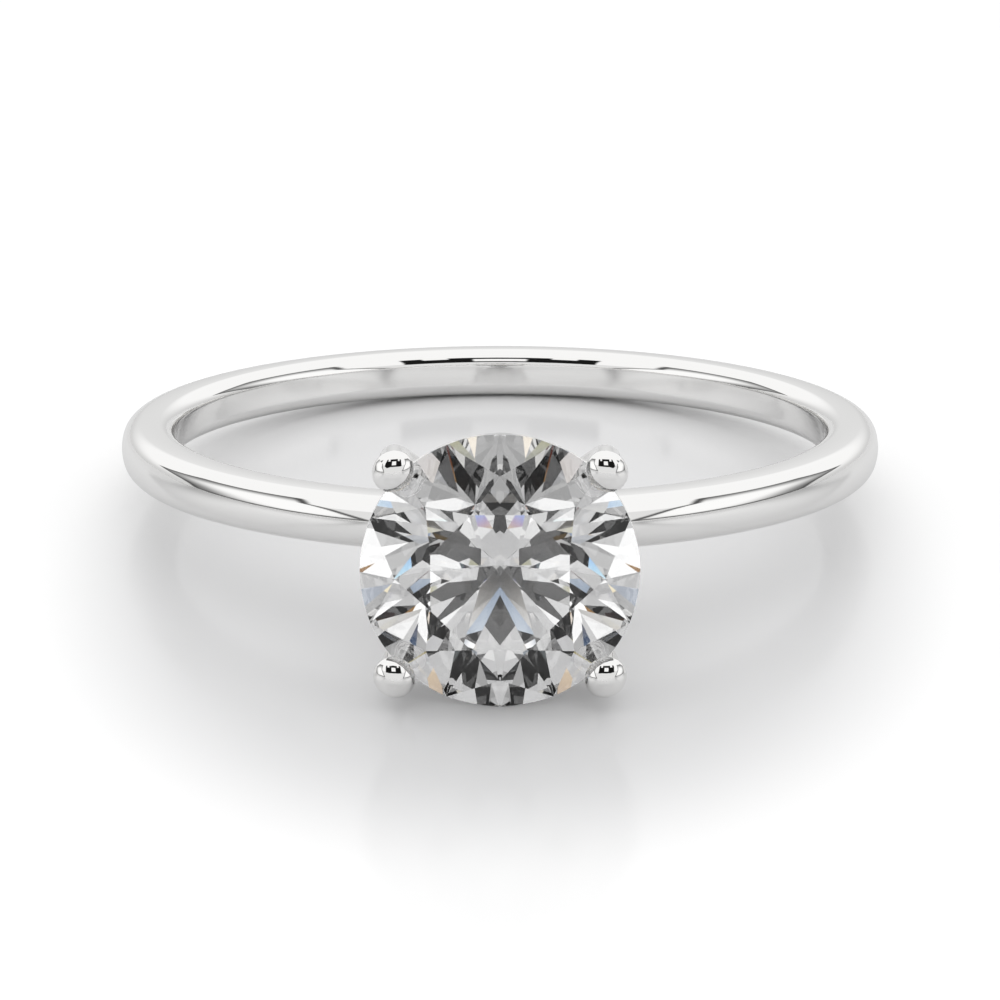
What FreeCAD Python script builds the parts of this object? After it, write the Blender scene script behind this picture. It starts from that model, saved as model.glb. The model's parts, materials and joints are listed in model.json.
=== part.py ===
import FreeCAD, Part

import os

import Sketcher

# A four-prong solitaire ring with a round brilliant, in millimetres.
#
# The ring's frame: the origin is the centre of the finger hole, +Z runs along the finger and the
# stone faces -Y. The head (stone, prongs, gallery rail, collar and peg) is drawn in its own frame,
# whose +Z points from the finger straight out through the culet and the table.

# ---------------------------------------------------------------------------------------------
# Driving dimensions. Each one is written once, here, and reaches the model through the sheet.
# ---------------------------------------------------------------------------------------------

SIZES = [
    # The shank: a finger hole, and an outer form set off towards the head so that the wall grows.
    ("finger_radius", 8.5, "radius of the finger hole"),
    ("wall_back", 1.27, "wall at the back of the shank"),
    ("wall_head", 1.50, "wall under the head"),
    ("band_width", 1.30, "width of the shank along the finger"),
    ("crown_arc", 1.10, "radius of the domed outside, across the shank"),
    ("shoulder_round", 0.45, "radius between the dome and the flat sides"),
    ("comfort_round", 0.40, "radius on the two rims of the finger hole"),
    # The stone: a round brilliant.
    ("stone_radius", 3.25, "radius at the girdle"),
    ("table_radius", 1.73, "radius of the table's corners"),
    ("crown_angle", 34.7, "slope of the crown's main facets, in degrees"),
    ("pavilion_angle", 40.8, "slope of the pavilion's main facets, in degrees"),
    ("girdle_width", 0.21, "thickness of the girdle at the tips of the main facets"),
    ("star_reach", 0.50, "how far the stars reach from the table's edge to the girdle, as a share"),
    ("lower_reach", 0.80, "how far the lower halves reach from the girdle to the culet, as a share"),
    ("culet_gap", 0.93, "space between the shank and the culet"),
    # The prongs: a leaning leg, an elbow, an upright with the seat, and a bead.
    ("prong_radius", 0.34, "radius of the prong wire at the stone"),
    ("leg_radius", 0.27, "radius of the prong wire at its foot"),
    ("seat_depth", 0.10, "how far the girdle sits into each prong"),
    ("seat_clearance", 0.01, "space between the stone and its seat"),
    ("corner_drop", 0.96, "from the girdle down to where leg and upright would meet"),
    ("elbow_radius", 0.60, "radius of the bend, on the wire's centre line"),
    ("foot_circle", 0.66, "radius on which the legs meet the shank"),
    ("foot_spread", 0.64, "radius of the faired foot on the shank"),
    ("foot_flare", 52.0, "slope of the faired foot away from the head's axis, in degrees"),
    ("bead_depth", 0.47, "radius of each bead, towards the stone"),
    ("bead_width", 0.51, "radius of each bead, along the girdle"),
    ("bead_height", 0.345, "radius of each bead, along the prong"),
    ("bead_rise", 0.40, "from the girdle up to the middle of the bead"),
    ("bead_lean", 0.02, "how far the bead is pushed over the stone"),
    # The parts that join the prongs.
    ("rail_wire", 0.26, "radius of the gallery rail's wire"),
    ("rail_drop", 1.95, "from the girdle down to the gallery rail"),
    ("rail_bite", 0.25, "depth of the saddles in the gallery rail"),
    ("collar_rise", 0.50, "height of the collar over the shank"),
    ("collar_top", 0.98, "radius of the collar's upper rim"),
    ("collar_foot", 0.60, "radius of the collar on the shank"),
    ("peg_radius", 0.40, "radius of the peg"),
    ("peg_clearance", 0.02, "space for solder round the peg"),
]

BRILLIANT_FOLD = 8              # the brilliant repeats eight times round its axis
MAIN_TURN = 22.5                # main facets stand 22.5 degrees round from the table's flats
HALF_TURN = 11.25               # half facets stand 11.25 degrees either side of those flats
PRONG_TURNS = {"upper_right": 45.0, "upper_left": 135.0, "lower_left": 225.0, "lower_right": 315.0}

# Lengths and levels that several pieces share, each an expression on the sheet. In the head's
# frame a level is a distance from the finger's axis.
BAND_TOP = "(Sizes.finger_radius + Sizes.wall_head)"
FORM_SHIFT = "((Sizes.wall_head - Sizes.wall_back) / 2)"
FORM_RADIUS = "(Sizes.finger_radius + (Sizes.wall_head + Sizes.wall_back) / 2)"

HALF_GIRDLE = "(Sizes.girdle_width / 2)"
CROWN_HEIGHT = f"({HALF_GIRDLE} + (Sizes.stone_radius - Sizes.table_radius) * tan(Sizes.crown_angle))"
CULET_DEPTH = f"({HALF_GIRDLE} + Sizes.stone_radius * tan(Sizes.pavilion_angle))"
TABLE_FLAT = f"(Sizes.table_radius * cos({MAIN_TURN}))"
STAR_RADIUS = f"({TABLE_FLAT} + Sizes.star_reach * (Sizes.stone_radius - {TABLE_FLAT}))"
STAR_LEVEL = (f"({HALF_GIRDLE} + tan(Sizes.crown_angle)"
              f" * (Sizes.stone_radius - {STAR_RADIUS} * cos({MAIN_TURN})))")
LOWER_RADIUS = "((1 - Sizes.lower_reach) * Sizes.stone_radius)"
LOWER_LEVEL = (f"(-{HALF_GIRDLE} - tan(Sizes.pavilion_angle)"
               f" * (Sizes.stone_radius - {LOWER_RADIUS} * cos({MAIN_TURN})))")
GIRDLE_LEVEL = f"({BAND_TOP} + Sizes.culet_gap + {CULET_DEPTH})"

PRONG_CIRCLE = "(Sizes.stone_radius + Sizes.prong_radius - Sizes.seat_depth)"
CORNER_LEVEL = f"({GIRDLE_LEVEL} - Sizes.corner_drop)"
LEAN = f"(atan(({PRONG_CIRCLE} - Sizes.foot_circle) / ({CORNER_LEVEL} - {BAND_TOP})))"
UPRIGHT_LEVEL = f"({CORNER_LEVEL} + Sizes.elbow_radius * tan({LEAN} / 2))"
ELBOW_AXIS = f"({PRONG_CIRCLE} - Sizes.elbow_radius)"
BEAD_LEVEL = f"({GIRDLE_LEVEL} + Sizes.bead_rise)"
BEAD_CIRCLE = f"({PRONG_CIRCLE} - Sizes.bead_lean)"
RAIL_LEVEL = f"({GIRDLE_LEVEL} - Sizes.rail_drop)"
RAIL_CIRCLE = (f"(Sizes.foot_circle + ({RAIL_LEVEL} - {BAND_TOP}) * tan({LEAN})"
               f" - Sizes.prong_radius / cos({LEAN}) + Sizes.rail_bite - Sizes.rail_wire)")
COLLAR_LEVEL = f"({BAND_TOP} + Sizes.collar_rise)"

WORK_MARGIN = 1.0               # how far cutters and blanks reach past the metal they work on
FOOT_SINK = 0.6                 # how far legs and collar reach into the shank before it trims them

# ---------------------------------------------------------------------------------------------
# Helpers
# ---------------------------------------------------------------------------------------------

doc = FreeCAD.newDocument("engagement_ring")
sheet = doc.addObject("Spreadsheet::Sheet", "Sizes")
for row, (alias, value, meaning) in enumerate(SIZES, start=1):
    sheet.set(f"A{row}", meaning)
    sheet.set(f"B{row}", str(value))
    sheet.setAlias(f"B{row}", alias)
doc.recompute()

HEAD_TURN = FreeCAD.Rotation(FreeCAD.Vector(1, 0, 0), 90)


def number(expression):
    """The present value of an expression on the sheet, to start a sketch near its solution."""
    value = sheet.evalExpression(str(expression))
    return float(getattr(value, "Value", value))


def head_placement(turn=0.0):
    """Where the head's frame stands, turned about the head's own axis."""
    return FreeCAD.Placement(FreeCAD.Vector(), HEAD_TURN * FreeCAD.Rotation(FreeCAD.Vector(0, 0, 1), turn))


def new_body(label, placement=None):
    body = doc.addObject("PartDesign::Body", label)
    body.Label = label
    body.Placement = placement or FreeCAD.Placement()
    return body


def origin_feature(body, role):
    return next(feature for feature in body.Origin.OriginFeatures if feature.Role == role)


def new_sketch(body, name, role, lift=None, turn=0.0):
    """A sketch on one of the body's own planes, lifted off it or turned about its upright axis."""
    sketch = body.newObject("Sketcher::SketchObject", name)
    sketch.AttachmentSupport = [(origin_feature(body, role), "")]
    sketch.MapMode = "FlatFace"
    if turn:
        sketch.AttachmentOffset = FreeCAD.Placement(
            FreeCAD.Vector(), FreeCAD.Rotation(FreeCAD.Vector(0, 1, 0), turn))
    if lift:
        sketch.setExpression("AttachmentOffset.Base.z", lift)
    return sketch


def bind(sketch, constraint, expression):
    """Add a constraint whose value follows an expression."""
    index = sketch.addConstraint(constraint)
    sketch.setExpression(f"Constraints[{index}]", expression)
    return index


def pin(sketch, geometry, end, x, y):
    """Hold one end of a piece of geometry at a place given by two expressions."""
    bind(sketch, Sketcher.Constraint("DistanceX", -1, 1, geometry, end, number(x)), x)
    bind(sketch, Sketcher.Constraint("DistanceY", -1, 1, geometry, end, number(y)), y)


def add_polygon(sketch, corners):
    """A closed outline of straight lines through corners, each a pair of expressions."""
    points = [FreeCAD.Vector(number(x), number(y), 0) for x, y in corners]
    lines = []
    for start, end in zip(points, points[1:] + points[:1]):
        lines.append(sketch.addGeometry(Part.LineSegment(start, end), False))
    for line, following in zip(lines, lines[1:] + lines[:1]):
        sketch.addConstraint(Sketcher.Constraint("Coincident", line, 2, following, 1))
    for line, (x, y) in zip(lines, corners):
        pin(sketch, line, 1, x, y)
    return lines


def add_circle(sketch, x, y, radius):
    """A circle whose centre and radius follow expressions."""
    centre = FreeCAD.Vector(number(x), number(y), 0)
    circle = sketch.addGeometry(Part.Circle(centre, FreeCAD.Vector(0, 0, 1), number(radius)), False)
    pin(sketch, circle, 3, x, y)
    bind(sketch, Sketcher.Constraint("Radius", circle, number(radius)), radius)


def add_axis(sketch, start, end):
    """A construction line, which becomes the sketch's Axis0."""
    points = [FreeCAD.Vector(number(x), number(y), 0) for x, y in (start, end)]
    line = sketch.addGeometry(Part.LineSegment(*points), True)
    pin(sketch, line, 1, *start)
    pin(sketch, line, 2, *end)


def profile_feature(body, kind, name, sketch, **settings):
    """A feature made from one sketch, which becomes the body's tip."""
    feature = body.newObject(f"PartDesign::{kind}", name)
    feature.Profile = sketch
    for key, value in settings.items():
        setattr(feature, key, value)
    doc.recompute()
    return feature


def circle_edges(shape, radius, tolerance=1e-4):
    """Names of the shape's circular edges of one radius."""
    names = []
    for index, edge in enumerate(shape.Edges, start=1):
        if isinstance(edge.Curve, Part.Circle) and abs(edge.Curve.Radius - radius) < tolerance:
            names.append(f"Edge{index}")
    return names


def cut(name, base, tool):
    """The base piece with the tool's shape taken out of it."""
    feature = doc.addObject("Part::Cut", name)
    feature.Base = base
    feature.Tool = tool
    feature.Label = name
    return feature


def fuse(name, pieces):
    """Several shapes as one cutting tool."""
    feature = doc.addObject("Part::MultiFuse", name)
    feature.Shapes = pieces
    return feature


def cylinder(name, radius, height, placement, start="0"):
    """A Part cylinder along the Z axis of its placement, from a level given by an expression."""
    feature = doc.addObject("Part::Cylinder", name)
    feature.setExpression("Radius", radius)
    feature.setExpression("Height", height)
    feature.Placement = placement
    along = placement.Rotation.multVec(FreeCAD.Vector(0, 0, 1))
    for key in ("x", "y", "z"):
        share = round(getattr(along, key))
        if share:
            feature.setExpression(f"Placement.Base.{key}", f"{share} * ({start})")
    return feature

# ---------------------------------------------------------------------------------------------
# The shank: a domed band turned about its own centre, then bored for the finger
# ---------------------------------------------------------------------------------------------


def make_shank_blank():
    """The band before it is drilled for the peg. Its own origin is the outer form's centre."""
    body = new_body("shank_blank")
    body.setExpression("Placement.Base.y", f"-{FORM_SHIFT}")

    section = new_sketch(body, "BandSection", "XZ_Plane")
    half_width = "(Sizes.band_width / 2)"
    arc_centre = f"({FORM_RADIUS} - Sizes.crown_arc)"
    edge = f"({arc_centre} + sqrt(Sizes.crown_arc ^ 2 - {half_width} ^ 2))"
    inside = f"(Sizes.finger_radius - {FORM_SHIFT} - {WORK_MARGIN})"
    corners = [(edge, f"-{half_width}"), (inside, f"-{half_width}"), (inside, half_width), (edge, half_width)]
    points = [FreeCAD.Vector(number(x), number(y), 0) for x, y in corners]
    for start, end in zip(points, points[1:]):
        section.addGeometry(Part.LineSegment(start, end), False)
    dome = Part.Arc(points[3], FreeCAD.Vector(number(FORM_RADIUS), 0, 0), points[0])
    arc = section.addGeometry(dome, False)
    section.addConstraint(Sketcher.Constraint("Coincident", 0, 2, 1, 1))
    section.addConstraint(Sketcher.Constraint("Coincident", 1, 2, 2, 1))
    section.addConstraint(Sketcher.Constraint("Coincident", 2, 2, arc, 2))
    section.addConstraint(Sketcher.Constraint("Coincident", 0, 1, arc, 1))
    pin(section, 0, 1, *corners[0])
    pin(section, 1, 1, *corners[1])
    pin(section, 2, 1, *corners[2])
    bind(section, Sketcher.Constraint("DistanceX", -1, 1, arc, 3, number(arc_centre)), arc_centre)
    bind(section, Sketcher.Constraint("DistanceX", -1, 1, 2, 2, number(edge)), edge)
    band = profile_feature(body, "Revolution", "Band", section, ReferenceAxis=(section, ["V_Axis"]))

    shoulders = body.newObject("PartDesign::Fillet", "Shoulders")
    shoulders.Base = (band, circle_edges(band.Shape, number(edge)))
    shoulders.setExpression("Radius", "Sizes.shoulder_round")
    doc.recompute()

    hole = new_sketch(body, "FingerCircle", "XY_Plane")
    add_circle(hole, "0", FORM_SHIFT, "Sizes.finger_radius")
    bore = profile_feature(body, "Pocket", "FingerHole", hole, SideType="Symmetric")
    bore.setExpression("Length", "Sizes.band_width * 2")
    doc.recompute()

    comfort = body.newObject("PartDesign::Fillet", "ComfortRims")
    comfort.Base = (bore, circle_edges(bore.Shape, number("Sizes.finger_radius")))
    comfort.setExpression("Radius", "Sizes.comfort_round")
    doc.recompute()
    return body


# ---------------------------------------------------------------------------------------------
# The diamond: cut tier by tier from a round blank, with an index that turns it
# ---------------------------------------------------------------------------------------------


def facet_wedge(body, name, turn, inner, outer, side):
    """Grind one flat through two points of its own plane. side is +1 on the crown, -1 below."""
    (inner_x, inner_z), (outer_x, outer_z) = inner, outer
    slope = f"(({outer_z} - {inner_z}) / ({outer_x} - {inner_x}))"
    edge_x = f"(Sizes.stone_radius + {WORK_MARGIN})"
    edge_z = f"({inner_z} + {slope} * ({edge_x} - {inner_x}))"
    reach = CROWN_HEIGHT if side > 0 else CULET_DEPTH
    far_z = f"({side} * ({reach} + {2 * WORK_MARGIN}))"
    far_x = f"({inner_x} + ({far_z} - {inner_z}) / {slope})"
    sketch = new_sketch(body, f"{name}Line", "XZ_Plane", turn=turn)
    add_polygon(sketch, [(far_x, far_z), (edge_x, edge_z), (edge_x, far_z)])
    wedge = profile_feature(body, "Pocket", name, sketch, SideType="Symmetric")
    wedge.setExpression("Length", "Sizes.stone_radius * 4")
    return wedge


def index_tier(body, name, wedges):
    """Repeat a tier's first flats round the stone."""
    tier = body.newObject("PartDesign::PolarPattern", name)
    tier.Originals = wedges
    tier.Axis = (origin_feature(body, "Z_Axis"), [""])
    tier.Angle = 360
    tier.Occurrences = BRILLIANT_FOLD
    body.Tip = tier
    doc.recompute()


def make_diamond():
    body = new_body("diamond", head_placement())
    body.setExpression("Placement.Base.y", f"-{GIRDLE_LEVEL}")

    outline = new_sketch(body, "GirdleCircle", "XY_Plane")
    add_circle(outline, "0", "0", "Sizes.stone_radius")
    blank = profile_feature(body, "Pad", "RoughBlank", outline, SideType="Two sides")
    blank.setExpression("Length", CROWN_HEIGHT)
    blank.setExpression("Length2", f"{CULET_DEPTH} + {WORK_MARGIN}")
    doc.recompute()

    half_cos = f"cos({HALF_TURN})"
    girdle_top = ("Sizes.stone_radius", HALF_GIRDLE)
    girdle_bottom = ("Sizes.stone_radius", f"(-{HALF_GIRDLE})")
    star_tip = (STAR_RADIUS, STAR_LEVEL)
    lower_tip = (LOWER_RADIUS, LOWER_LEVEL)
    table_flat = (TABLE_FLAT, CROWN_HEIGHT)

    def beside(point):
        """The same point seen from a half facet, which stands a little way round from it."""
        return (f"({point[0]} * {half_cos})", point[1])

    below = ("0", f"(-{CULET_DEPTH})")
    mains = [facet_wedge(body, "PavilionMain", MAIN_TURN, below, girdle_bottom, -1)]
    index_tier(body, "PavilionMains", mains)
    lowers = [facet_wedge(body, f"LowerHalf{side}", turn, beside(lower_tip), beside(girdle_bottom), -1)
              for side, turn in (("Left", -HALF_TURN), ("Right", HALF_TURN))]
    index_tier(body, "LowerHalves", lowers)
    above = ("Sizes.table_radius", CROWN_HEIGHT)
    mains = [facet_wedge(body, "CrownMain", MAIN_TURN, above, girdle_top, 1)]
    index_tier(body, "CrownMains", mains)
    uppers = [facet_wedge(body, f"UpperHalf{side}", turn, beside(star_tip), beside(girdle_top), 1)
              for side, turn in (("Left", -HALF_TURN), ("Right", HALF_TURN))]
    index_tier(body, "UpperHalves", uppers)
    stars = [facet_wedge(body, "Star", 0.0, table_flat, star_tip, 1)]
    index_tier(body, "Stars", stars)
    return body


# ---------------------------------------------------------------------------------------------
# The prongs: each is one wire with a leaning leg, an elbow, an upright with a seat, and a bead
# ---------------------------------------------------------------------------------------------


def make_prong_wire(place, turn):
    """One prong before its foot is filed to the shank. The body's +X points away from the stone."""
    body = new_body(f"prong_wire_{place}", head_placement(turn))

    lean_sin = f"sin({LEAN})"
    lean_cos = f"cos({LEAN})"
    foot = (f"(Sizes.foot_circle - {FOOT_SINK} * tan({LEAN}))", f"({BAND_TOP} - {FOOT_SINK})")
    knee = (f"({ELBOW_AXIS} + Sizes.elbow_radius * {lean_cos})",
            f"({UPRIGHT_LEVEL} - Sizes.elbow_radius * {lean_sin})")

    def outside(point, radius):
        """The point one wire radius out from the leg's centre line."""
        return (f"({point[0]} + {radius} * {lean_cos})", f"({point[1]} - {radius} * {lean_sin})")

    outline = new_sketch(body, f"LegOutline_{place}", "XZ_Plane")
    add_polygon(outline, [foot, knee, outside(knee, "Sizes.prong_radius"), outside(foot, "Sizes.leg_radius")])
    add_axis(outline, foot, knee)
    profile_feature(body, "Revolution", f"Leg_{place}", outline, ReferenceAxis=(outline, ["Axis0"]))

    bend = new_sketch(body, f"ElbowCircle_{place}", "XY_Plane", lift=UPRIGHT_LEVEL)
    add_circle(bend, PRONG_CIRCLE, "0", "Sizes.prong_radius")
    add_axis(bend, (ELBOW_AXIS, "(-Sizes.prong_radius)"), (ELBOW_AXIS, "Sizes.prong_radius"))
    elbow = profile_feature(body, "Revolution", f"Elbow_{place}", bend, ReferenceAxis=(bend, ["Axis0"]))
    elbow.setExpression("Angle", LEAN)
    doc.recompute()

    section = new_sketch(body, f"UprightCircle_{place}", "XY_Plane", lift=UPRIGHT_LEVEL)
    add_circle(section, PRONG_CIRCLE, "0", "Sizes.prong_radius")
    upright = profile_feature(body, "Pad", f"Upright_{place}", section)
    upright.setExpression("Length", f"{BEAD_LEVEL} - {UPRIGHT_LEVEL}")
    doc.recompute()

    bead = body.newObject("PartDesign::AdditiveEllipsoid", f"Bead_{place}")
    bead.AttachmentSupport = [(origin_feature(body, "XY_Plane"), "")]
    bead.MapMode = "FlatFace"
    bead.setExpression("AttachmentOffset.Base.x", BEAD_CIRCLE)
    bead.setExpression("AttachmentOffset.Base.z", BEAD_LEVEL)
    bead.setExpression("Radius1", "Sizes.bead_height")
    bead.setExpression("Radius2", "Sizes.bead_depth")
    bead.setExpression("Radius3", "Sizes.bead_width")
    doc.recompute()

    # The seat: the stone's own ridge line between two half facets, with the seat's clearance.
    def girdle_level(offset):
        return f"({GIRDLE_LEVEL} + {offset})"

    seat = new_sketch(body, f"SeatOutline_{place}", "XZ_Plane")
    cleared = "(Sizes.stone_radius + Sizes.seat_clearance)"
    add_polygon(seat, [
        ("0", girdle_level(LOWER_LEVEL)),
        (f"({LOWER_RADIUS} + Sizes.seat_clearance)", girdle_level(LOWER_LEVEL)),
        (cleared, girdle_level(f"(-{HALF_GIRDLE})")),
        (cleared, girdle_level(HALF_GIRDLE)),
        (f"({STAR_RADIUS} + Sizes.seat_clearance)", girdle_level(STAR_LEVEL)),
        ("0", girdle_level(STAR_LEVEL)),
    ])
    profile_feature(body, "Groove", f"Seat_{place}", seat, ReferenceAxis=(seat, ["V_Axis"]))

    # The foot's outside is faired down to the shank on a cone round the head.
    file_line = new_sketch(body, f"FootLine_{place}", "XZ_Plane")
    flare = "tan(Sizes.foot_flare)"
    apex = f"({BAND_TOP} - Sizes.foot_spread / {flare})"
    far_z = f"({BAND_TOP} + {2 * WORK_MARGIN})"
    far_x = f"(Sizes.foot_spread + {2 * WORK_MARGIN} * {flare})"
    low_z = f"({BAND_TOP} - {2 * WORK_MARGIN})"
    add_polygon(file_line, [("0", low_z), (far_x, low_z), (far_x, far_z), ("0", apex)])
    profile_feature(body, "Groove", f"FairedFoot_{place}", file_line, ReferenceAxis=(file_line, ["V_Axis"]))
    return body


# ---------------------------------------------------------------------------------------------
# The parts that join the prongs: gallery rail, collar and peg
# ---------------------------------------------------------------------------------------------


def make_rail_ring():
    body = new_body("rail_ring", head_placement())
    section = new_sketch(body, "RailSection", "XZ_Plane")
    add_circle(section, RAIL_CIRCLE, RAIL_LEVEL, "Sizes.rail_wire")
    profile_feature(body, "Revolution", "Rail", section, ReferenceAxis=(section, ["V_Axis"]))
    return body


def make_collar_ring():
    body = new_body("collar_ring", head_placement())
    section = new_sketch(body, "CollarSection", "XZ_Plane")
    low = f"({BAND_TOP} - {FOOT_SINK})"
    add_polygon(section, [
        ("Sizes.peg_radius", low), ("Sizes.collar_foot", low), ("Sizes.collar_foot", BAND_TOP),
        ("Sizes.collar_top", COLLAR_LEVEL), ("Sizes.peg_radius", COLLAR_LEVEL),
    ])
    profile_feature(body, "Revolution", "Collar", section, ReferenceAxis=(section, ["V_Axis"]))
    return body


shank_blank = make_shank_blank()
diamond = make_diamond()

peg_start = f"(Sizes.finger_radius - {WORK_MARGIN})"
peg_drill = cylinder("peg_drill", "Sizes.peg_radius + Sizes.peg_clearance",
                     f"Sizes.wall_head + {2 * WORK_MARGIN}", head_placement(), peg_start)
shank = cut("shank", shank_blank, peg_drill)

peg_length = f"{COLLAR_LEVEL} - {peg_start}"
peg_rod = cylinder("peg_rod", "Sizes.peg_radius", peg_length, head_placement(), peg_start)
finger = cylinder("finger", "Sizes.finger_radius", "Sizes.band_width * 2", FreeCAD.Placement())
finger.setExpression("Placement.Base.z", "-Sizes.band_width")
head_peg = cut("head_peg", peg_rod, finger)

prongs = []
for place, turn in PRONG_TURNS.items():
    wire = make_prong_wire(place, turn)
    footing = fuse(f"footing_{place}", [shank_blank, head_peg])
    prongs.append(cut(f"prong_{place}", wire, footing))
doc.recompute()

gallery_rail = cut("gallery_rail", make_rail_ring(), fuse("rail_saddles", prongs))
base_collar = cut("base_collar", make_collar_ring(), fuse("collar_seats", prongs + [shank_blank]))
doc.recompute()

# ---------------------------------------------------------------------------------------------
# Check every object, then write each piece
# ---------------------------------------------------------------------------------------------

PIECES = [shank, diamond] + prongs + [gallery_rail, base_collar, head_peg]

for item in doc.Objects:
    if "Invalid" in item.State or "Error" in item.State:
        raise RuntimeError(f"{item.Label} failed: {item.State}")

os.makedirs("parts", exist_ok=True)
for piece in PIECES:
    shape = piece.Shape
    if shape.isNull() or not shape.isValid() or len(shape.Solids) != 1:
        raise RuntimeError(f"{piece.Label} is not one sound solid")
    shape.exportStep(f"parts/{piece.Label}.step")
    box = shape.BoundBox
    print(f"{piece.Label:20s} {shape.Volume:9.4f} mm3, faces {len(shape.Faces):3d}, "
          f"x {box.XMin:7.3f} {box.XMax:7.3f}, y {box.YMin:7.3f} {box.YMax:7.3f}, "
          f"z {box.ZMin:7.3f} {box.ZMax:7.3f}")
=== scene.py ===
# %% [markdown]
# # A solitaire engagement ring at the bench
# The ring is a thin polished band, a head of four bent wires and one round brilliant. This lesson
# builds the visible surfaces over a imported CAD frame: every piece starts from the frame's own
# sizes, so nothing has to be fitted by eye afterwards. Lengths are in metres.

# %% Load the frame
import json
import math

import bmesh
import bpy
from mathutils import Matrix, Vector


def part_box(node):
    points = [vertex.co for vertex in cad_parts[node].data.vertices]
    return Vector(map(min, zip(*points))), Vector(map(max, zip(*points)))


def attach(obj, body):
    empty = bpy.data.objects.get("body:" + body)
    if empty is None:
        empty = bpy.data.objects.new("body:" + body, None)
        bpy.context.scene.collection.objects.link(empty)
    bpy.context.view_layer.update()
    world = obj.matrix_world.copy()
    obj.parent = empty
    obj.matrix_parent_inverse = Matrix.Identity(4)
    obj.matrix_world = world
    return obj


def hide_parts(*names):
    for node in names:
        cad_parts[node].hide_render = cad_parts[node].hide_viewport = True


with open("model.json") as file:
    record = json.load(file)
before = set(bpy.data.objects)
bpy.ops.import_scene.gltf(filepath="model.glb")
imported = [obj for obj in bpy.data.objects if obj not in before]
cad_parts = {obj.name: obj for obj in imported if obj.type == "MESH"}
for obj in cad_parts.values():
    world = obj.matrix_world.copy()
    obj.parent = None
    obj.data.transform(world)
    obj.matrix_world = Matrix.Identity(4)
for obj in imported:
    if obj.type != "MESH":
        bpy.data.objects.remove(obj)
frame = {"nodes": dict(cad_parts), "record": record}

MM = 0.001
scene = bpy.context.scene
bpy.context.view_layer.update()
print("pieces in the frame:", ", ".join(sorted(frame["nodes"])))

# %% [markdown]
# ## The sizes that the pieces share
# A ring is measured by its finger hole. Here the hole's radius comes from the record's mount, and
# the band's outer form from its box: the wall is thin at the back and thicker under the head, as
# on a band whose outside was turned a little off its hole's centre. The stone's box gives its
# table and its width, the rim of its mesh gives its girdle, and the culet follows from the
# pavilion's slope. The head's axis runs from the finger out through the stone, along -Y, so a
# "level" below is a distance along that axis.

# %% Sizes from the frame
finger_radius = frame["record"]["mounts"][0]["dims"]["r_mm"] * MM
band_low, band_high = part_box("shank")
wall_back = band_high.y - finger_radius
wall_head = -band_low.y - finger_radius
band_half_width = band_high.z
form_radius = finger_radius + (wall_back + wall_head) / 2
form_shift = (wall_head - wall_back) / 2

stone_low, stone_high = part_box("diamond")
stone_radius = stone_high.x
table_level = -stone_low.y
girdle_rim = [v.co.y for v in frame["nodes"]["diamond"].data.vertices
              if math.hypot(v.co.x, v.co.z) > 0.999 * stone_radius]
girdle_level = -(min(girdle_rim) + max(girdle_rim)) / 2
girdle_half = (max(girdle_rim) - min(girdle_rim)) / 2
print(f"finger hole {2 * finger_radius / MM:.2f} mm, walls {wall_back / MM:.2f} and {wall_head / MM:.2f} mm")
print(f"stone {2 * stone_radius / MM:.2f} mm across, girdle at level {girdle_level / MM:.3f} mm")

# %% [markdown]
# ## The camera
# A product lens stands well back, so that the ring keeps its proportions, and looks down on the
# band by about twelve degrees: enough to open the finger hole into a slim ellipse while the stone
# still faces us. The long lens goes with the distance, and no depth of field is used.

# %% Camera
CAMERA_DISTANCE = 115 * MM
CAMERA_ELEVATION = math.radians(12.6)
CAMERA_AIM = Vector((0.0, -0.34, -1.53)) * MM
CAMERA_LENS = 157.7

camera_data = bpy.data.cameras.new("product_camera")
camera_data.lens = CAMERA_LENS
camera_data.sensor_width = 36
camera_data.clip_start = 5 * MM
camera_data.clip_end = 20
camera = bpy.data.objects.new("product_camera", camera_data)
scene.collection.objects.link(camera)
camera.location = CAMERA_DISTANCE * Vector((0, -math.cos(CAMERA_ELEVATION), math.sin(CAMERA_ELEVATION)))
camera.rotation_euler = (CAMERA_AIM - camera.location).to_track_quat("-Z", "Y").to_euler()
scene.camera = camera
print("camera stands at", [round(c / MM, 1) for c in camera.location], "mm")

# %% [markdown]
# ## A helper for polished meshes
# Polished metal shows every flat of a coarse mesh in its reflections, so the pieces are dense and
# their faces are shaded smooth. One small function turns lists of points and faces into an object.

# %% Mesh helper


def add_mesh(name, points, faces, smooth=True):
    """A new object from plain lists, with its normals facing outwards."""
    mesh = bpy.data.meshes.new(name)
    mesh.from_pydata([tuple(p) for p in points], [], faces)
    shape = bmesh.new()
    shape.from_mesh(mesh)
    bmesh.ops.recalc_face_normals(shape, faces=shape.faces)
    shape.to_mesh(mesh)
    shape.free()
    mesh.polygons.foreach_set("use_smooth", [smooth] * len(mesh.polygons))
    piece = bpy.data.objects.new(name, mesh)
    scene.collection.objects.link(piece)
    return piece


def grid_faces(rows, columns, close_rows=True, close_columns=True):
    """Quads over a grid of points, which may close on itself either way."""
    faces = []
    for i in range(rows if close_rows else rows - 1):
        for j in range(columns if close_columns else columns - 1):
            a, b = i, (i + 1) % rows
            c, d = j, (j + 1) % columns
            faces.append((a * columns + c, b * columns + c, b * columns + d, a * columns + d))
    return faces


print("a closed 3 by 4 grid has", len(grid_faces(3, 4)), "faces")

# %% [markdown]
# ## The band
# A goldsmith rolls a D-shaped wire, bends it round a mandrel and polishes it. Its section is flat
# where it meets the finger, has soft rims so that it slides on, straight sides, tight shoulders
# and a gently domed outside. A curve with a bevel could make it, but the wall changes round the
# ring, so the section is worked out again at every angle: each outer point lies on a circle about
# the outer form's centre, and each inner point on a circle about the finger's axis.

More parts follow.
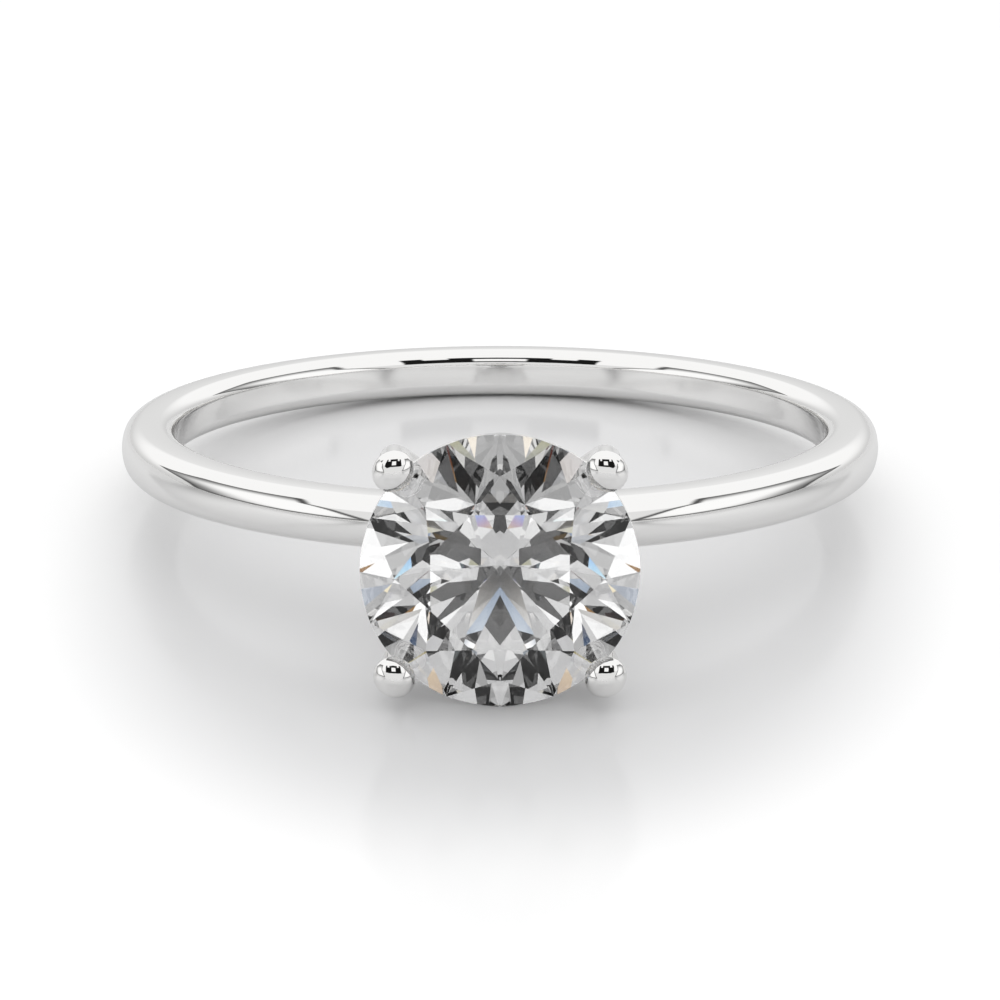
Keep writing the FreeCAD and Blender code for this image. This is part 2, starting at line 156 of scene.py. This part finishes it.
# %% Band
DOME_ARC = 1.10 * MM
SHOULDER_ARC = 0.45 * MM
RIM_ARC = 0.40 * MM
BAND_STEPS = 384


def arc_points(centre, radius, start, end, steps):
    """Points (radius, z) on an arc, angles in degrees from straight out."""
    turns = [math.radians(start + (end - start) * i / steps) for i in range(steps + 1)]
    return [(centre[0] + radius * math.cos(t), centre[1] + radius * math.sin(t)) for t in turns]


def band_outside():
    """The domed outside from the lower side wall to the upper, about the outer form's centre."""
    shoulder_z = band_half_width - SHOULDER_ARC
    reach = math.sqrt((DOME_ARC - SHOULDER_ARC) ** 2 - shoulder_z ** 2)
    dome_centre = form_radius - DOME_ARC
    turn = math.degrees(math.atan2(shoulder_z, reach))
    shoulder = (dome_centre + reach, shoulder_z)
    dome = arc_points((dome_centre, 0), DOME_ARC, 0, turn, 8)
    upper = dome + arc_points(shoulder, SHOULDER_ARC, turn, 90, 12)[1:]
    return [(r, -z) for r, z in reversed(upper[1:])] + upper


def band_inside():
    """The finger hole's flat wall and its rims, from the upper side wall to the lower."""
    centre = (finger_radius + RIM_ARC, band_half_width - RIM_ARC)
    rim = arc_points(centre, RIM_ARC, 90, 180, 14)
    return rim + [(r, -z) for r, z in reversed(rim)]


points = []
outside, inside = band_outside(), band_inside()
for step in range(BAND_STEPS):
    turn = 2 * math.pi * step / BAND_STEPS
    across, along = math.sin(turn), -math.cos(turn)
    for radius, z in outside:
        points.append((radius * across, radius * along - form_shift, z))
    for radius, z in inside:
        points.append((radius * across, radius * along, z))
band = add_mesh("polished_band", points, grid_faces(BAND_STEPS, len(outside) + len(inside)))
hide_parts("shank")
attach(band, "root")
print("band:", len(band.data.polygons), "faces")

# %% [markdown]
# ## The stone
# A round brilliant is ground one flat at a time against a spinning lap. The index wheel turns the
# stone to the next flat, and the quadrant sets the slope. The same is done here: a round blank is
# cut by a plane for every facet, so each facet is truly flat and each edge truly sharp, which is
# what makes the pattern of light and dark inside it. Only the girdle stays round.

# %% Stone
CROWN_ANGLE = math.radians(34.7)
PAVILION_ANGLE = math.radians(40.8)
STAR_REACH = 0.50
LOWER_REACH = 0.80
MAIN_TURN = 22.5
HALF_TURN = 11.25
FOLD = 8
GIRDLE_STEPS = 256

table_height = table_level - girdle_level
table_radius = stone_radius - (table_height - girdle_half) / math.tan(CROWN_ANGLE)
table_flat = table_radius * math.cos(math.radians(MAIN_TURN))
star_radius = table_flat + STAR_REACH * (stone_radius - table_flat)
lower_radius = (1 - LOWER_REACH) * stone_radius
main_cos = math.cos(math.radians(MAIN_TURN))
half_cos = math.cos(math.radians(HALF_TURN))
star_height = girdle_half + math.tan(CROWN_ANGLE) * (stone_radius - star_radius * main_cos)
lower_height = -girdle_half - math.tan(PAVILION_ANGLE) * (stone_radius - lower_radius * main_cos)
culet_height = -girdle_half - math.tan(PAVILION_ANGLE) * stone_radius


def head_point(x, up, height):
    """A point of the head: x to the right, up along the finger, height out past the girdle."""
    return Vector((x, -(girdle_level + height), up))


def grind(stone, turn, inner, outer):
    """Cut one flat. Both points (radius, height) lie on the flat, in the plane of its index."""
    slope = Vector((outer[0] - inner[0], outer[1] - inner[1])).normalized()
    normal = Vector((slope.y, -slope.x))
    if normal.x < 0:
        normal = -normal
    t = math.radians(turn)
    spot = head_point(outer[0] * math.cos(t), outer[0] * math.sin(t), outer[1])
    outward = Vector((normal.x * math.cos(t), -normal.y, normal.x * math.sin(t)))
    everything = stone.verts[:] + stone.edges[:] + stone.faces[:]
    done = bmesh.ops.bisect_plane(stone, geom=everything, plane_co=spot, plane_no=outward, clear_outer=True,
                                  dist=1e-9)
    rim = [e for e in done["geom_cut"] if isinstance(e, bmesh.types.BMEdge)]
    bmesh.ops.contextual_create(stone, geom=rim)


def round_blank(stone):
    """The bruted cylinder that the facets are ground from."""
    low, high = [], []
    for step in range(GIRDLE_STEPS):
        t = 2 * math.pi * (step + 0.5) / GIRDLE_STEPS
        x, up = stone_radius * math.cos(t), stone_radius * math.sin(t)
        low.append(stone.verts.new(head_point(x, up, culet_height * 1.3)))
        high.append(stone.verts.new(head_point(x, up, table_height)))
    for i in range(GIRDLE_STEPS):
        j = (i + 1) % GIRDLE_STEPS
        stone.faces.new((low[i], low[j], high[j], high[i]))
    stone.faces.new(high)
    stone.faces.new(list(reversed(low)))


def beside(point):
    """The same point seen from a half facet, which stands a little way round from it."""
    return (point[0] * half_cos, point[1])


girdle_top = (stone_radius, girdle_half)
girdle_bottom = (stone_radius, -girdle_half)
stone_mesh = bmesh.new()
round_blank(stone_mesh)
for k in range(FOLD):
    index = 360 / FOLD * k
    grind(stone_mesh, index + MAIN_TURN, (0, culet_height), girdle_bottom)
    grind(stone_mesh, index + MAIN_TURN, (table_radius, table_height), girdle_top)
for k in range(FOLD):
    index = 360 / FOLD * k
    for side in (-HALF_TURN, HALF_TURN):
        grind(stone_mesh, index + side, beside((lower_radius, lower_height)), beside(girdle_bottom))
        grind(stone_mesh, index + side, beside((star_radius, star_height)), beside(girdle_top))
    grind(stone_mesh, index, (table_flat, table_height), (star_radius, star_height))
bmesh.ops.remove_doubles(stone_mesh, verts=stone_mesh.verts, dist=1e-7)
bmesh.ops.recalc_face_normals(stone_mesh, faces=stone_mesh.faces)
facets = 0
for face in stone_mesh.faces:
    face.smooth = abs(face.normal.y) < 1e-3
    facets += not face.smooth
for edge in stone_mesh.edges:
    edge.smooth = all(face.smooth for face in edge.link_faces)
stone_data = bpy.data.meshes.new("brilliant")
stone_mesh.to_mesh(stone_data)
stone_mesh.free()
stone = bpy.data.objects.new("brilliant", stone_data)
scene.collection.objects.link(stone)
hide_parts("diamond")
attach(stone, "root")
print(f"stone: {facets} facets, table {100 * table_radius / stone_radius:.0f}% of the width")

# %% [markdown]
# ## Polished white gold
# Rhodium-plated white gold mirrors its surroundings and takes almost no colour from itself. What
# tells it from a perfect mirror is the last polish: faint haze, hairlines from the buff and soft
# waves. The haze and lines are one node group, so that the band and the head share the effect at
# their own scale, and the metal itself is one plain Principled shader.

# %% Polish group


def polish_group():
    """Roughness and height of a buffed surface, from object coordinates in metres."""
    group = bpy.data.node_groups.new("buffed_polish", "ShaderNodeTree")
    for name, kind, default in (("Haze", "NodeSocketFloat", 0.02), ("Hairlines", "NodeSocketFloat", 0.02),
                                ("Scale", "NodeSocketFloat", 1500.0)):
        socket = group.interface.new_socket(name=name, in_out="INPUT", socket_type=kind)
        socket.default_value = default
    for name in ("Roughness", "Height"):
        group.interface.new_socket(name=name, in_out="OUTPUT", socket_type="NodeSocketFloat")
    nodes, links = group.nodes, group.links
    inlet, outlet = nodes.new("NodeGroupInput"), nodes.new("NodeGroupOutput")
    where = nodes.new("ShaderNodeTexCoord")
    waves = nodes.new("ShaderNodeTexNoise")
    waves.inputs["Detail"].default_value = 3
    stretch = nodes.new("ShaderNodeMapping")
    stretch.inputs["Scale"].default_value = (1.0, 1.0, 14.0)
    lines = nodes.new("ShaderNodeTexNoise")
    lines.inputs["Detail"].default_value = 5
    lines.inputs["Roughness"].default_value = 0.7
    crest = nodes.new("ShaderNodeMapRange")
    crest.inputs["From Min"].default_value = 0.55
    crest.inputs["From Max"].default_value = 0.8
    line_share = nodes.new("ShaderNodeMath")
    line_share.operation = "MULTIPLY"
    haze_share = nodes.new("ShaderNodeMath")
    haze_share.operation = "MULTIPLY"
    total = nodes.new("ShaderNodeMath")
    total.operation = "ADD"
    links.new(where.outputs["Object"], waves.inputs["Vector"])
    links.new(inlet.outputs["Scale"], waves.inputs["Scale"])
    links.new(where.outputs["Object"], stretch.inputs["Vector"])
    links.new(stretch.outputs["Vector"], lines.inputs["Vector"])
    links.new(inlet.outputs["Scale"], lines.inputs["Scale"])
    links.new(lines.outputs["Fac"], crest.inputs["Value"])
    links.new(crest.outputs["Result"], line_share.inputs[0])
    links.new(inlet.outputs["Hairlines"], line_share.inputs[1])
    links.new(waves.outputs["Fac"], haze_share.inputs[0])
    links.new(inlet.outputs["Haze"], haze_share.inputs[1])
    links.new(line_share.outputs["Value"], total.inputs[0])
    links.new(haze_share.outputs["Value"], total.inputs[1])
    links.new(total.outputs["Value"], outlet.inputs["Roughness"])
    links.new(lines.outputs["Fac"], outlet.inputs["Height"])
    return group


POLISH = polish_group()
print("polish group:", len(POLISH.nodes), "nodes")

# %% [markdown]
# ## White gold on the band and the head
# Both metals share the polish group. The band is buffed by a wheel along its length, so its lines
# are a little coarser; the small wires of the head are polished by hand with a finer mop. The bump
# lifts the hairlines by well under a micron, which is all that a mirror finish needs.

# %% White gold


def white_gold(name, haze, hairlines, scale, bump):
    material = bpy.data.materials.new(name)
    material.use_nodes = True
    nodes, links = material.node_tree.nodes, material.node_tree.links
    metal = nodes["Principled BSDF"]
    metal.inputs["Base Color"].default_value = (0.93, 0.925, 0.915, 1)
    metal.inputs["Metallic"].default_value = 1.0
    polish = nodes.new("ShaderNodeGroup")
    polish.node_tree = POLISH
    polish.inputs["Haze"].default_value = haze
    polish.inputs["Hairlines"].default_value = hairlines
    polish.inputs["Scale"].default_value = scale
    relief = nodes.new("ShaderNodeBump")
    relief.inputs["Strength"].default_value = bump
    relief.inputs["Distance"].default_value = 0.001 * MM
    links.new(polish.outputs["Roughness"], metal.inputs["Roughness"])
    links.new(polish.outputs["Height"], relief.inputs["Height"])
    links.new(relief.outputs["Normal"], metal.inputs["Normal"])
    return material


band_gold = white_gold("polished_white_gold_band", haze=0.05, hairlines=0.05, scale=900.0, bump=0.3)
head_gold = white_gold("polished_white_gold_head", haze=0.03, hairlines=0.03, scale=1800.0, bump=0.2)
band.data.materials.append(band_gold)
for name, node in frame["nodes"].items():
    if name.startswith("prong") or name in ("gallery_rail", "base_collar", "head_peg"):
        node.data.materials.clear()
        node.data.materials.append(head_gold)
        node.data.polygons.foreach_set("use_smooth", [True] * len(node.data.polygons))
print("white gold on the band and", len(frame["nodes"]) - 2, "pieces of the head")

# %% [markdown]
# ## Diamond
# Diamond bends light more than any other clear stone, so its index alone makes the facets return
# the light they do. The facets are polished flat and perfectly clear. The girdle is not: it is
# left as it was bruted, a fine frosted band, which also keeps the rim of the stone visible. One
# mask, the distance from the stone's axis, tells the frosted band from the facets.

# %% Diamond material
DIAMOND_INDEX = 2.417
FROST = 0.15


def diamond_material():
    material = bpy.data.materials.new("diamond")
    material.use_nodes = True
    nodes, links = material.node_tree.nodes, material.node_tree.links
    clear = nodes["Principled BSDF"]
    clear.inputs["Base Color"].default_value = (1, 1, 1, 1)
    clear.inputs["IOR"].default_value = DIAMOND_INDEX
    clear.inputs["Transmission Weight"].default_value = 1.0
    where = nodes.new("ShaderNodeTexCoord")
    flatten = nodes.new("ShaderNodeVectorMath")
    flatten.operation = "MULTIPLY"
    flatten.inputs[1].default_value = (1, 0, 1)
    from_axis = nodes.new("ShaderNodeVectorMath")
    from_axis.operation = "LENGTH"
    girdle = nodes.new("ShaderNodeMapRange")
    girdle.label = "frosted girdle"
    girdle.inputs["From Min"].default_value = stone_radius * 0.9985
    girdle.inputs["From Max"].default_value = stone_radius * 0.9995
    grain = nodes.new("ShaderNodeTexNoise")
    grain.inputs["Scale"].default_value = 9000.0
    frost = nodes.new("ShaderNodeMath")
    frost.operation = "MULTIPLY"
    frost.inputs[1].default_value = FROST
    grit = nodes.new("ShaderNodeMath")
    grit.operation = "MULTIPLY"
    relief = nodes.new("ShaderNodeBump")
    relief.inputs["Strength"].default_value = 0.3
    relief.inputs["Distance"].default_value = 0.002 * MM
    links.new(where.outputs["Object"], flatten.inputs[0])
    links.new(flatten.outputs["Vector"], from_axis.inputs[0])
    links.new(from_axis.outputs["Value"], girdle.inputs["Value"])
    links.new(where.outputs["Object"], grain.inputs["Vector"])
    links.new(girdle.outputs["Result"], frost.inputs[0])
    links.new(frost.outputs["Value"], clear.inputs["Roughness"])
    links.new(girdle.outputs["Result"], grit.inputs[0])
    links.new(grain.outputs["Fac"], grit.inputs[1])
    links.new(grit.outputs["Value"], relief.inputs["Height"])
    links.new(relief.outputs["Normal"], clear.inputs["Normal"])
    return material


stone.data.materials.append(diamond_material())
print(f"diamond: index {DIAMOND_INDEX}, girdle roughness {FROST}")

# %% [markdown]
# ## The floor
# Left on a table, the ring lies on the back of its band and on the edge of its stone, which
# reaches lower than the prongs do. The floor is therefore a plane that touches both from below.
# Its slope is found by halving: too steep and the head sinks in, too flat and the band does. The
# clearances are printed, so that a piece under the floor would show as a negative one.

# %% Floor
resting = [v.co.copy() for name in ("shank", "diamond", "prong_lower_left", "prong_lower_right")
           for v in frame["nodes"][name].data.vertices]
back_points = [p for p in resting if p.y > 0]
head_points = [p for p in resting if p.y < -finger_radius]


def lowest(group, slope):
    return min(p.z - slope * p.y for p in group)


flat, steep = 0.0, 0.5
for _ in range(50):
    floor_slope = (flat + steep) / 2
    if lowest(head_points, floor_slope) < lowest(back_points, floor_slope):
        flat = floor_slope
    else:
        steep = floor_slope
floor_height = min(lowest(head_points, floor_slope), lowest(back_points, floor_slope))
floor_tilt = math.atan(floor_slope)
print(f"the ring lies {math.degrees(floor_tilt):.1f} degrees off the floor")
for name, node in sorted(frame["nodes"].items()):
    gap = lowest([v.co for v in node.data.vertices], floor_slope) - floor_height
    print(f"  {name} clears the floor by {gap * math.cos(floor_tilt) / MM:.3f} mm")

FLOOR_HALF = 3.0
corners = [(x * FLOOR_HALF, y * FLOOR_HALF, 0) for x, y in ((-1, -1), (1, -1), (1, 1), (-1, 1))]
floor = add_mesh("floor", corners, [(0, 1, 2, 3)], smooth=False)
floor.rotation_euler = (floor_tilt, 0, 0)
floor.location = (0, 0, floor_height)

# %% [markdown]
# The sweep under jewellery is a sheet of satin acrylic: white, with a faint sheen that mirrors
# the ring softly. A product shot keeps it a little greyer under the piece than around it, so that
# white metal stands out from white ground. That grey is a painted shadow: a soft oval painted into
# the floor's colour where the ring's soft shadow falls, rather than one cast by the light.
# What the metal and the stone mirror of the floor is one even light grey instead: a painted shade,
# darker than the floor that the camera sees. Mirror-sharp rays are the glare off the stone's front,
# and they find the floor much darker still, a painted darkening of that glare. That is a choice for
# looks and not how a room behaves: the glare would lay a grey veil over the dark facets. Light that
# went through the stone is mirror-sharp too, so those rays are taken out again.

# %% Floor material
# Painted shadow on the floor: a grey oval round SHADE_MIDDLE that fades out past SHADE_REACH.
SHADE_MIDDLE = (0.0, -6 * MM)
SHADE_REACH = (13.6 * MM, 21 * MM)
# Painted shade in reflections: the grey that the metal and the stone see of the floor, and the share of it
# left for glare.
MIRRORED_FLOOR = (0.65, 0.65, 0.655, 1)
GLARE_SHARE = 0.15
SHADE_FADE = (0.55, 0.89)
SHADED_WHITE = (0.73, 0.73, 0.735, 1)
OPEN_WHITE = (0.99, 0.99, 0.99, 1)


def sweep_material():
    material = bpy.data.materials.new("satin_white_sweep")
    material.use_nodes = True
    nodes, links = material.node_tree.nodes, material.node_tree.links
    sheet = nodes["Principled BSDF"]
    sheet.inputs["Roughness"].default_value = 0.16
    sheet.inputs["IOR"].default_value = 1.35
    where = nodes.new("ShaderNodeTexCoord")
    oval = nodes.new("ShaderNodeMapping")
    shift = [-middle / reach for middle, reach in zip(SHADE_MIDDLE, SHADE_REACH)]
    oval.inputs["Location"].default_value = (*shift, 0)
    oval.inputs["Scale"].default_value = (1 / SHADE_REACH[0], 1 / SHADE_REACH[1], 1)
    reach = nodes.new("ShaderNodeVectorMath")
    reach.operation = "LENGTH"
    fade = nodes.new("ShaderNodeMapRange")
    fade.interpolation_type = "SMOOTHSTEP"
    fade.inputs["From Min"].default_value = SHADE_FADE[0]
    fade.inputs["From Max"].default_value = SHADE_FADE[1]
    # Painted shadow: the floor's colour is SHADED_WHITE inside the oval and OPEN_WHITE outside it.
    tone = nodes.new("ShaderNodeMix")
    tone.data_type = "RGBA"
    tone.inputs["A"].default_value = SHADED_WHITE
    tone.inputs["B"].default_value = OPEN_WHITE
    links.new(where.outputs["Object"], oval.inputs["Vector"])
    links.new(oval.outputs["Vector"], reach.inputs[0])
    links.new(reach.outputs["Value"], fade.inputs["Value"])
    links.new(fade.outputs["Result"], tone.inputs["Factor"])
    # Painted shade in reflections: rays other than the camera's see MIRRORED_FLOOR, mirror-sharp glare a
    # darker share of it.
    kind = nodes.new("ShaderNodeLightPath")
    glare = nodes.new("ShaderNodeMath")
    glare.operation = "SUBTRACT"
    glare.use_clamp = True
    mirrored = nodes.new("ShaderNodeMix")
    mirrored.data_type = "RGBA"
    mirrored.inputs["A"].default_value = MIRRORED_FLOOR
    mirrored.inputs["B"].default_value = (*[GLARE_SHARE * part for part in MIRRORED_FLOOR[:3]], 1)
    seen = nodes.new("ShaderNodeMix")
    seen.data_type = "RGBA"
    links.new(kind.outputs["Is Singular Ray"], glare.inputs[0])
    links.new(kind.outputs["Is Transmission Ray"], glare.inputs[1])
    links.new(glare.outputs["Value"], mirrored.inputs["Factor"])
    links.new(mirrored.outputs["Result"], seen.inputs["A"])
    links.new(kind.outputs["Is Camera Ray"], seen.inputs["Factor"])
    links.new(tone.outputs["Result"], seen.inputs["B"])
    links.new(seen.outputs["Result"], sheet.inputs["Base Color"])
    return material


floor.data.materials.append(sweep_material())
print("sweep: grey oval", [round(reach / MM, 1) for reach in SHADE_REACH], "mm either way")

# %% [markdown]
# ## The light
# White metal and diamond show the room, so the room is most of the picture. It is a white tent
# with black cards and soft boxes hung in it. They are painted on the sky by direction: "across"
# is how many degrees to the side of the head's axis a direction points, and "up" how many above
# it. Both sides are alike. Three skies are a studio trick rather than one real room: plain white
# lights the floor, one set of cards is for the metal, and one for light that passed the stone.

# %% Sky coordinates
FLOOR_LIGHT = 1.08
tent = bpy.data.worlds.new("white_tent")
tent.use_nodes = True
scene.world = tent
sky_nodes, sky_links = tent.node_tree.nodes, tent.node_tree.links


def calc(operation, *values):
    """A math node fed with numbers or sockets."""
    node = sky_nodes.new("ShaderNodeMath")
    node.operation = operation
    for socket, value in zip(node.inputs, values):
        if isinstance(value, (int, float)):
            socket.default_value = value
        else:
            sky_links.new(value, socket)
    return node.outputs[0]


def step(value, start, end):
    """0 below the start, 1 above the end, and smooth between."""
    node = sky_nodes.new("ShaderNodeMapRange")
    node.interpolation_type = "SMOOTHSTEP"
    sky_links.new(value, node.inputs["Value"])
    node.inputs["From Min"].default_value = start
    node.inputs["From Max"].default_value = end
    return node.outputs["Result"]


def sky_angles(tip):
    """How far across and up a direction points, in degrees, for a sky tipped forward."""
    where = sky_nodes.new("ShaderNodeTexCoord")
    tipped = sky_nodes.new("ShaderNodeMapping")
    tipped.inputs["Rotation"].default_value = (math.radians(tip), 0, 0)
    parts = sky_nodes.new("ShaderNodeSeparateXYZ")
    sky_links.new(where.outputs["Generated"], tipped.inputs["Vector"])
    sky_links.new(tipped.outputs["Vector"], parts.inputs["Vector"])
    off_axis = calc("MULTIPLY", calc("ARCCOSINE", calc("MULTIPLY", parts.outputs["Y"], -1)), 180 / math.pi)
    square = calc("ADD", calc("POWER", parts.outputs["X"], 2), calc("POWER", parts.outputs["Z"], 2))
    spread = calc("DIVIDE", off_axis, calc("MAXIMUM", calc("SQRT", square), 1e-6))
    across = calc("ABSOLUTE", calc("MULTIPLY", parts.outputs["X"], spread))
    return across, calc("MULTIPLY", parts.outputs["Z"], spread)


def card(angles, sides, heights, soft=0.7):
    """1 on a card between two angles across and two angles up, 0 elsewhere."""
    across, up = angles
    inside = calc("MULTIPLY", step(across, sides[0] - soft, sides[0] + soft),
                  calc("SUBTRACT", 1, step(across, sides[1] - soft, sides[1] + soft)))
    between = calc("MULTIPLY", step(up, heights[0] - soft, heights[0] + soft),
                   calc("SUBTRACT", 1, step(up, heights[1] - soft, heights[1] + soft)))
    return calc("MULTIPLY", inside, between)


def hang(light, mask, brightness):
    """The light with a card hung in front of it."""
    kept = calc("MULTIPLY", light, calc("SUBTRACT", 1, mask))
    return calc("ADD", kept, calc("MULTIPLY", mask, brightness))


MIDDLE = -10.0
print("tent brightness", FLOOR_LIGHT)

# %% [markdown]
# ## The cards that the metal mirrors
# Polished metal needs something dark to mirror, or it melts into the white. A black card stands
# above the lens, with a window in its middle and a notch on either side of its upper edge. A soft
# box stands at each side: a bright middle, a dark frame and a cut corner, which draw the long
# streaks on the band. Low down, towards the back, the tent dims to the grey of its own hem. The
# sky is tipped with the ring, so that "up" here is measured from the floor.

# %% Sky for the metal
METAL_TIP = -5.5
BOX_CORNER = 159.0


def elevation(tip):
    """How far a direction points above the floor, in degrees."""
    where = sky_nodes.new("ShaderNodeTexCoord")
    tipped = sky_nodes.new("ShaderNodeMapping")
    tipped.inputs["Rotation"].default_value = (math.radians(tip), 0, 0)
    parts = sky_nodes.new("ShaderNodeSeparateXYZ")
    sky_links.new(where.outputs["Generated"], tipped.inputs["Vector"])
    sky_links.new(tipped.outputs["Vector"], parts.inputs["Vector"])
    return calc("MULTIPLY", calc("ARCSINE", parts.outputs["Z"]), 180 / math.pi)


def below_corner(angles, corner):
    """1 inside a corner cut at 45 degrees, 0 beyond it."""
    return calc("SUBTRACT", 1, step(calc("ADD", *angles), corner - 1.5, corner + 1.5))


def metal_sky():
    """A white tent, a black card over the lens with a small window in it, and a soft box each side."""
    angles = sky_angles(METAL_TIP)
    across, up = angles
    light = calc("ADD", 0.66, calc("MULTIPLY", 0.34, step(elevation(-math.degrees(floor_tilt)), 0.0, 16.0)))
    light = hang(light, card(angles, (MIDDLE, 60), (-20, 27), 2.0), 0.80)
    narrowing = calc("MULTIPLY", 0.65, calc("MAXIMUM", 0, calc("SUBTRACT", 34, up)))
    slanted = (calc("ADD", across, narrowing), up)
    frame_mask = calc("MULTIPLY", card(slanted, (58, 124), (1, 63), 1.5), below_corner(angles, BOX_CORNER))
    light = hang(light, frame_mask, 0.10)
    sideways = calc("POWER", calc("DIVIDE", calc("SUBTRACT", slanted[0], 78), 44), 2)
    upwards = calc("POWER", calc("DIVIDE", calc("SUBTRACT", up, 22), 38), 2)
    from_lamp = calc("SQRT", calc("ADD", sideways, upwards))
    glow = calc("SUBTRACT", 1.05, calc("MULTIPLY", 0.85, step(from_lamp, 0.35, 1.05)))
    lamp = card(slanted, (61.5, 120), (4, 59.5), 1.5)
    light = hang(light, calc("MULTIPLY", lamp, below_corner(angles, BOX_CORNER - 4)), glow)
    light = hang(light, card(angles, (MIDDLE, 35), (23.5, 60.5)), 0.01)
    light = hang(light, card(angles, (MIDDLE, 9.5), (31.5, 49.5)), 1.0)
    light = hang(light, card(angles, (18, 27), (50.5, 61.5)), 1.0)
    return light


METAL_SKY = metal_sky()
print("nodes after the metal's sky:", len(sky_nodes))

# %% [markdown]
# ## The cards that the stone sends back, and its fire
# A brilliant gathers light from a wide cone in front of it, so it shows the same black card and
# window several times over, broken up by the facets. Diamond also bends blue a little more than
# red. A red ray and a blue ray that leave the same facet therefore look at slightly different
# places in the tent. The sky is worked out three times, at slightly different scales, once for
# each primary, and that gives the thin coloured edges between light and dark.

# %% Sky for the stone
STONE_TIP = 0.0
FIRE = (1.009, 1.0, 0.987)


def stone_sky(scale):
    """The cards as the stone sends them back, for one primary."""
    angles = tuple(calc("MULTIPLY", angle, scale) for angle in sky_angles(STONE_TIP))
    across, up = angles
    light = calc("SUBTRACT", 0.52, calc("MULTIPLY", 0.22, step(across, 80, 110)))
    light = hang(light, card(angles, (MIDDLE, 45), (-50, -7), 3.0), 0.75)
    light = hang(light, card(angles, (MIDDLE, 30), (32, 43), 2.0), 0.75)
    light = hang(light, card(angles, (MIDDLE, 23), (43, 71), 2.0), 1.4)
    light = hang(light, card(angles, (30, 44), (62, 78), 2.0), 1.3)
    light = hang(light, card(angles, (52, 68), (22, 48), 2.0), 1.6)
    light = hang(light, card(angles, (MIDDLE, 34), (-7, 32)), 0.02)
    light = hang(light, card(angles, (MIDDLE, 10), (1.5, 21)), 0.9)
    light = hang(light, card(angles, (18, 27.5), (21, 31.5)), 1.2)
    return light


STONE_SKY = sky_nodes.new("ShaderNodeCombineColor")
for socket, scale in zip(STONE_SKY.inputs, FIRE):
    sky_links.new(stone_sky(scale), socket)
print("nodes after the stone's skies:", len(sky_nodes))

# %% [markdown]
# A Light Path node tells which kind of ray asks for the sky. Rays that left the stone through a
# facet come as transmission rays and mirror rays come as glossy ones, so each gets its own cards.
# Everything else, the camera's own rays and the floor's light, sees the plain white tent. The
# glare off the stone's front is told by its mirror-sharp rays and is dimmed here as on the floor.

# %% Three skies in one world


def mix_sky(share, first, second):
    """The first colour, or the second for the rays that share picks out."""
    node = sky_nodes.new("ShaderNodeMix")
    node.data_type = "RGBA"
    sky_links.new(share, node.inputs["Factor"])
    for socket, value in ((node.inputs["A"], first), (node.inputs["B"], second)):
        if isinstance(value, tuple):
            socket.default_value = value
        else:
            sky_links.new(value, socket)
    return node.outputs["Result"]


kind = sky_nodes.new("ShaderNodeLightPath")
white = (FLOOR_LIGHT, FLOOR_LIGHT, FLOOR_LIGHT, 1)
glare = calc("MULTIPLY", kind.outputs["Is Glossy Ray"], kind.outputs["Is Singular Ray"])
mirrored = hang(METAL_SKY, glare, calc("MULTIPLY", METAL_SKY, GLARE_SHARE))
seen = mix_sky(kind.outputs["Is Glossy Ray"], white, mirrored)
seen = mix_sky(kind.outputs["Is Transmission Ray"], seen, STONE_SKY.outputs["Color"])
sky_links.new(seen, sky_nodes["Background"].inputs["Color"])
sky_nodes["Background"].inputs["Strength"].default_value = 1.0

scene.view_settings.view_transform = "Standard"
scene.cycles.max_bounces = 24
scene.cycles.transmission_bounces = 24
scene.cycles.glossy_bounces = 8
print("sky nodes:", len(sky_nodes))
